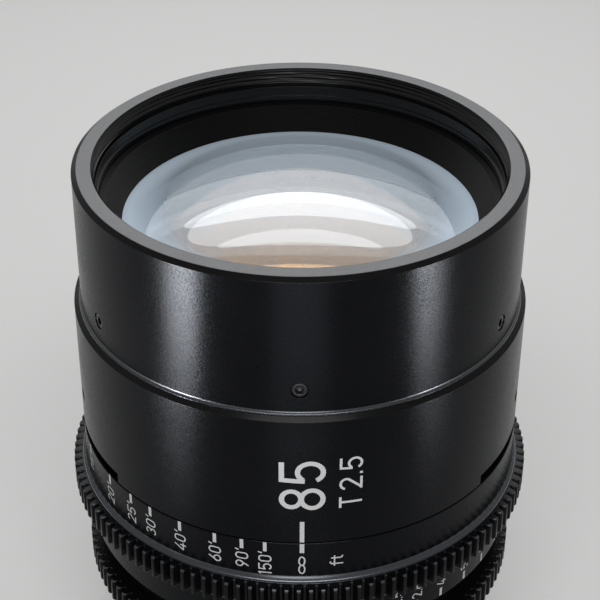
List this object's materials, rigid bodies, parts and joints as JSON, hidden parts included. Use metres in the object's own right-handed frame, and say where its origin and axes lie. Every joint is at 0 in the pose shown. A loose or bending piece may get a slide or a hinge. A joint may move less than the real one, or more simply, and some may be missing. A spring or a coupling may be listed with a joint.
{
  "type": "cinema prime lens",
  "caption": "Cinema prime lens with geared focus and iris rings, a focus group driven by a helical cam, a bladed iris, engraved scales and a lugged breech-lock mount.",
  "frame": {"origin": "centre of the mount's flange face, on the optical axis", "axes": "+Z along the optical axis towards the front glass; -Y is the side with the index line"},
  "size_m": [0.104, 0.104, 0.136],
  "materials": {
    "black_anodised": "matte black anodised over a fine bead-blasted grain",
    "gear_black": "black anodised, cut teeth with a slight sheen",
    "black_satin": "satin black anodised",
    "baffle_black": "flat black, ridged against stray light",
    "screw_black": "blackened steel",
    "blade_black": "blackened spring steel",
    "steel": "turned stainless steel",
    "brass": "turned brass",
    "coated_glass": "polished optical glass with an anti-reflection coating",
    "white_fill": "white paint filled into engraved marks"
  },
  "bodies": {
    "lens_body": {"lens_mount": "steel", "mount_shim": "brass", "mount_screws": "steel", "rear_barrel": "black_anodised", "stop_scale_ring": "black_anodised", "guide_sleeve": "black_satin", "barrel_tube": "black_satin", "index_barrel": "black_anodised", "barrel_screws": "screw_black", "front_ring": "black_anodised", "front_ring_screws": "screw_black", "front_baffle": "baffle_black", "front_cell": "black_satin", "front_element": "coated_glass", "second_element": "coated_glass", "second_element_ring": "black_satin", "blade_carrier": "black_satin", "iris_retaining_ring": "black_satin", "rear_cell": "black_satin", "rear_doublet_front": "coated_glass", "rear_doublet_back": "coated_glass", "rear_doublet_ring": "black_satin", "rear_element": "coated_glass", "rear_retaining_ring": "black_satin"},
    "focus_ring": {"focus_ring": "black_anodised", "focus_gear": "gear_black", "cam_sleeve": "brass", "cam_drive_screws": "steel"},
    "focus_group": {"focus_cell": "black_satin", "cam_followers": "brass", "focus_element": "coated_glass", "focus_element_ring": "black_satin", "focus_doublet_front": "coated_glass", "focus_doublet_back": "coated_glass", "focus_doublet_ring": "black_satin"},
    "iris_ring": {"iris_ring": "black_anodised", "iris_gear": "gear_black", "iris_drive_pin": "steel", "blade_drive_ring": "brass"},
    "blade_1": {"iris_blade_1": "blade_black"},
    "blade_2": {"iris_blade_2": "blade_black"},
    "blade_3": {"iris_blade_3": "blade_black"},
    "blade_4": {"iris_blade_4": "blade_black"},
    "blade_5": {"iris_blade_5": "blade_black"},
    "blade_6": {"iris_blade_6": "blade_black"},
    "blade_7": {"iris_blade_7": "blade_black"},
    "blade_8": {"iris_blade_8": "blade_black"},
    "blade_9": {"iris_blade_9": "blade_black"}
  },
  "joints": [
    {"name": "focus_turn", "type": "hinge", "parent": "lens_body", "child": "focus_ring", "pos_m": [0, 0, 0.045], "axis": [0, 0, 1], "range_deg": [0, 180]},
    {"name": "focus_slide", "type": "slide", "parent": "lens_body", "child": "focus_group", "axis": [0, 0, 1], "range_m": [0, 0.012]},
    {"name": "iris_turn", "type": "hinge", "parent": "lens_body", "child": "iris_ring", "pos_m": [0, 0, 0.021], "axis": [0, 0, 1], "range_deg": [0, 60]},
    {"name": "blade_1_swing", "type": "hinge", "parent": "lens_body", "child": "blade_1", "pos_m": [0.032, 0, 0.0185], "axis": [0, 0, 1], "range_deg": [0, 31.7]},
    {"name": "blade_2_swing", "type": "hinge", "parent": "lens_body", "child": "blade_2", "pos_m": [0.02451, 0.02057, 0.0185], "axis": [0, 0, 1], "range_deg": [0, 31.7]},
    {"name": "blade_3_swing", "type": "hinge", "parent": "lens_body", "child": "blade_3", "pos_m": [0.00556, 0.03151, 0.0185], "axis": [0, 0, 1], "range_deg": [0, 31.7]},
    {"name": "blade_4_swing", "type": "hinge", "parent": "lens_body", "child": "blade_4", "pos_m": [-0.016, 0.02771, 0.0185], "axis": [0, 0, 1], "range_deg": [0, 31.7]},
    {"name": "blade_5_swing", "type": "hinge", "parent": "lens_body", "child": "blade_5", "pos_m": [-0.03007, 0.01094, 0.0185], "axis": [0, 0, 1], "range_deg": [0, 31.7]},
    {"name": "blade_6_swing", "type": "hinge", "parent": "lens_body", "child": "blade_6", "pos_m": [-0.03007, -0.01094, 0.0185], "axis": [0, 0, 1], "range_deg": [0, 31.7]},
    {"name": "blade_7_swing", "type": "hinge", "parent": "lens_body", "child": "blade_7", "pos_m": [-0.016, -0.02771, 0.0185], "axis": [0, 0, 1], "range_deg": [0, 31.7]},
    {"name": "blade_8_swing", "type": "hinge", "parent": "lens_body", "child": "blade_8", "pos_m": [0.00556, -0.03151, 0.0185], "axis": [0, 0, 1], "range_deg": [0, 31.7]},
    {"name": "blade_9_swing", "type": "hinge", "parent": "lens_body", "child": "blade_9", "pos_m": [0.02451, -0.02057, 0.0185], "axis": [0, 0, 1], "range_deg": [0, 31.7]}
  ],
  "couplings": [
    {"joint": "focus_slide", "follows": "focus_turn", "m_per_rad": 0.0038197},
    {"joint": "blade_1_swing", "follows": "iris_turn", "ratio": 0.5283},
    {"joint": "blade_2_swing", "follows": "iris_turn", "ratio": 0.5283},
    {"joint": "blade_3_swing", "follows": "iris_turn", "ratio": 0.5283},
    {"joint": "blade_4_swing", "follows": "iris_turn", "ratio": 0.5283},
    {"joint": "blade_5_swing", "follows": "iris_turn", "ratio": 0.5283},
    {"joint": "blade_6_swing", "follows": "iris_turn", "ratio": 0.5283},
    {"joint": "blade_7_swing", "follows": "iris_turn", "ratio": 0.5283},
    {"joint": "blade_8_swing", "follows": "iris_turn", "ratio": 0.5283},
    {"joint": "blade_9_swing", "follows": "iris_turn", "ratio": 0.5283}
  ]
}
